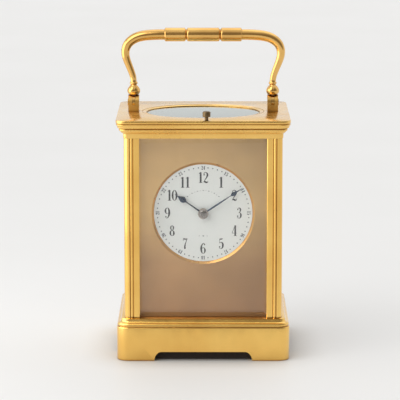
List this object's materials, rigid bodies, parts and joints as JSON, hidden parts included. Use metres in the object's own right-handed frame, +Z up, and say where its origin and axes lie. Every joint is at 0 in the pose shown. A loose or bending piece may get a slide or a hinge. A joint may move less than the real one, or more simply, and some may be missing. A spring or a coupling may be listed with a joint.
{
  "type": "carriage clock",
  "caption": "Rectangular brass and glass carriage clock with a folding top handle, white enamel dial in a plain satin mask, repeat button and spring-driven movement.",
  "frame": {"origin": "centre of the base's underside, on the surface that the clock stands on", "axes": "+Z up, the dial faces -Y, +X to the right as seen from the front"},
  "size_m": [0.0952, 0.083, 0.1797],
  "materials": {
    "gilt_brass": "polished, lacquered gilt",
    "satin_gilt_brass": "fine matt gilt",
    "glass": "clear, bevelled edges",
    "enamel": "glossy white enamel",
    "blued_steel": "heat blued",
    "polished_steel": "polished",
    "movement_brass": "lacquered brass"
  },
  "bodies": {
    "case": {"base_moulding": "gilt_brass", "base_plate": "movement_brass", "pillar_front_left": "gilt_brass", "pillar_front_right": "gilt_brass", "pillar_rear_left": "gilt_brass", "pillar_rear_right": "gilt_brass", "cornice": "gilt_brass", "top_glass": "glass", "front_glass": "glass", "left_glass": "glass", "right_glass": "glass", "handle_post_left": "gilt_brass", "handle_post_right": "gilt_brass", "handle_pivot_left": "polished_steel", "handle_pivot_right": "polished_steel", "dial_mask": "satin_gilt_brass", "dial_plate": "enamel", "front_plate": "movement_brass", "back_plate": "movement_brass", "movement_pillar_lower_left": "movement_brass", "movement_pillar_lower_right": "movement_brass", "movement_pillar_upper_left": "movement_brass", "movement_pillar_upper_right": "movement_brass", "platform": "movement_brass", "balance_cock": "movement_brass", "hairspring": "blued_steel", "gong": "blued_steel", "gong_block": "movement_brass"},
    "handle": {"handle_bail": "gilt_brass", "handle_grip": "gilt_brass", "handle_knuckle_left": "gilt_brass", "handle_knuckle_right": "gilt_brass"},
    "door": {"door_frame": "gilt_brass", "door_glass": "glass", "door_knob": "gilt_brass"},
    "repeat_button": {"repeat_button": "movement_brass"},
    "repeat_lever": {"repeat_lever": "polished_steel"},
    "centre_arbor": {"centre_wheel": "movement_brass", "cannon_pinion": "polished_steel", "minute_hand": "blued_steel", "hand_cap": "polished_steel"},
    "hour_hand": {"hour_wheel": "movement_brass", "hour_hand": "blued_steel"},
    "minute_wheel": {"minute_wheel": "movement_brass"},
    "going_barrel": {"going_barrel": "movement_brass", "going_mainspring": "blued_steel"},
    "going_arbor": {"going_arbor": "polished_steel"},
    "intermediate_wheel": {"intermediate_wheel": "movement_brass"},
    "third_wheel": {"third_wheel": "movement_brass"},
    "contrate_wheel": {"contrate_wheel": "movement_brass"},
    "escape_wheel": {"escape_wheel": "polished_steel"},
    "pallet_lever": {"pallet_lever": "polished_steel"},
    "balance_wheel": {"balance_wheel": "movement_brass"},
    "strike_barrel": {"strike_barrel": "movement_brass", "strike_mainspring": "blued_steel"},
    "strike_arbor": {"strike_arbor": "polished_steel"},
    "strike_intermediate_wheel": {"strike_intermediate_wheel": "movement_brass"},
    "pin_wheel": {"pin_wheel": "movement_brass"},
    "fly": {"fly": "movement_brass"},
    "hammer": {"hammer": "polished_steel"}
  },
  "joints": [
    {"name": "handle_swing", "type": "hinge", "parent": "case", "child": "handle", "pos_m": [0, 0, 0.1382], "axis": [1, 0, 0], "range_deg": [-90, 80]},
    {"name": "door_swing", "type": "hinge", "parent": "case", "child": "door", "pos_m": [0.033, 0.034, 0.073], "axis": [0, 0, -1], "range_deg": [0, 90]},
    {"name": "repeat_press", "type": "slide", "parent": "case", "child": "repeat_button", "axis": [0, 0, -1], "range_m": [0, 0.0015], "stiffness_N_per_m": 300, "springref_m": -0.002},
    {"name": "repeat_lever_rock", "type": "hinge", "parent": "case", "child": "repeat_lever", "pos_m": [0.0018, -0.0315, 0.1299], "axis": [1, 0, 0], "range_deg": [0, 14]},
    {"name": "centre_turn", "type": "hinge", "parent": "case", "child": "centre_arbor", "pos_m": [0, 0, 0.0806], "axis": [0, 1, 0], "continuous": true},
    {"name": "hour_turn", "type": "hinge", "parent": "case", "child": "hour_hand", "pos_m": [0, 0, 0.0806], "axis": [0, 1, 0], "continuous": true},
    {"name": "minute_wheel_turn", "type": "hinge", "parent": "case", "child": "minute_wheel", "pos_m": [0.00617, 0, 0.07325], "axis": [0, 1, 0], "continuous": true},
    {"name": "intermediate_turn", "type": "hinge", "parent": "case", "child": "intermediate_wheel", "pos_m": [0.01079, 0, 0.073], "axis": [0, 1, 0], "continuous": true},
    {"name": "going_barrel_turn", "type": "hinge", "parent": "case", "child": "going_barrel", "pos_m": [0.0162, 0, 0.0565], "axis": [0, 1, 0], "continuous": true},
    {"name": "going_wind", "type": "hinge", "parent": "case", "child": "going_arbor", "pos_m": [0.0162, 0, 0.0565], "axis": [0, 1, 0], "continuous": true},
    {"name": "third_turn", "type": "hinge", "parent": "case", "child": "third_wheel", "pos_m": [-0.00648, 0, 0.09182], "axis": [0, 1, 0], "continuous": true},
    {"name": "contrate_turn", "type": "hinge", "parent": "case", "child": "contrate_wheel", "pos_m": [0.00073, 0, 0.09904], "axis": [0, 1, 0], "continuous": true},
    {"name": "escape_turn", "type": "hinge", "parent": "case", "child": "escape_wheel", "pos_m": [0.00073, 0.00525, 0.1138], "axis": [0, 0, 1], "continuous": true},
    {"name": "pallet_rock", "type": "hinge", "parent": "case", "child": "pallet_lever", "pos_m": [0.00073, -0.00013, 0.1138], "axis": [0, 0, 1], "range_deg": [-2.4, 2.4]},
    {"name": "balance_swing", "type": "hinge", "parent": "case", "child": "balance_wheel", "pos_m": [0.00073, -0.009, 0.117], "axis": [0, 0, 1], "range_deg": [-150, 150], "stiffness_Nm_per_rad": 0.00001},
    {"name": "pin_wheel_turn", "type": "hinge", "parent": "case", "child": "pin_wheel", "pos_m": [-0.02026, 0, 0.08345], "axis": [0, 1, 0], "continuous": true},
    {"name": "strike_intermediate_turn", "type": "hinge", "parent": "case", "child": "strike_intermediate_wheel", "pos_m": [-0.02214, 0, 0.07281], "axis": [0, 1, 0], "continuous": true},
    {"name": "strike_barrel_turn", "type": "hinge", "parent": "case", "child": "strike_barrel", "pos_m": [-0.0162, 0, 0.0565], "axis": [0, 1, 0], "continuous": true},
    {"name": "strike_wind", "type": "hinge", "parent": "case", "child": "strike_arbor", "pos_m": [-0.0162, 0, 0.0565], "axis": [0, 1, 0], "continuous": true},
    {"name": "fly_spin", "type": "hinge", "parent": "case", "child": "fly", "pos_m": [-0.01876, 0, 0.09196], "axis": [0, 1, 0], "continuous": true},
    {"name": "hammer_lift", "type": "hinge", "parent": "case", "child": "hammer", "pos_m": [-0.026, 0, 0.095], "axis": [0, 1, 0], "range_deg": [0, 8], "stiffness_Nm_per_rad": 0.02, "springref_deg": -8.59}
  ],
  "couplings": [
    {"joint": "repeat_lever_rock", "follows": "repeat_press", "rad_per_m": 153.33},
    {"joint": "hour_turn", "follows": "centre_turn", "ratio": 0.083333},
    {"joint": "minute_wheel_turn", "follows": "centre_turn", "ratio": -0.33333},
    {"joint": "intermediate_turn", "follows": "centre_turn", "ratio": -0.2},
    {"joint": "going_barrel_turn", "follows": "centre_turn", "ratio": 0.033333},
    {"joint": "third_turn", "follows": "centre_turn", "ratio": -8},
    {"joint": "contrate_turn", "follows": "centre_turn", "ratio": 60},
    {"joint": "escape_turn", "follows": "centre_turn", "ratio": 480},
    {"joint": "strike_intermediate_turn", "follows": "pin_wheel_turn", "ratio": -0.2},
    {"joint": "strike_barrel_turn", "follows": "pin_wheel_turn", "ratio": 0.033333},
    {"joint": "fly_spin", "follows": "pin_wheel_turn", "ratio": -8}
  ]
}
